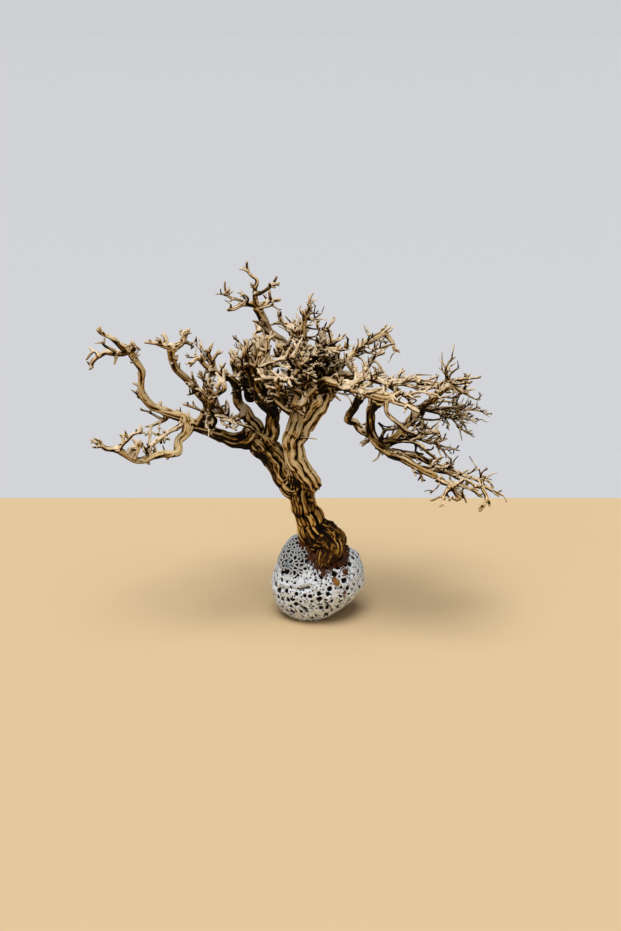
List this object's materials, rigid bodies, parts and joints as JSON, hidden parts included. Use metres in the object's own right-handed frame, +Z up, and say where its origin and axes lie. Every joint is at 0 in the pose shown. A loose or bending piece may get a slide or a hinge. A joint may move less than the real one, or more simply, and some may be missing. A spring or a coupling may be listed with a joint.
{
  "type": "dry root on a stone",
  "caption": "Gnarled, sun-bleached dry root set upright like a bare miniature tree on a rounded pumice stone, glued at its foot; a table ornament or base for plant displays.",
  "frame": {"origin": "centre of the stone's flat base, on the surface that it stands on", "axes": "+Z up, +X along the widest spread of the branches with the drooping limb on the +X side, +Y towards the back"},
  "size_m": [0.182, 0.0812, 0.1672],
  "materials": {
    "weathered_wood": "matt, sun-bleached straw and ochre with near-black grooves",
    "pumice": "matt, pale grey, open dark pores",
    "dried_glue": "crumbly dark red-brown crust"
  },
  "bodies": {
    "root": {"dry_root": "weathered_wood", "pumice_stone": "pumice", "glue_collar": "dried_glue"}
  },
  "joints": []
}
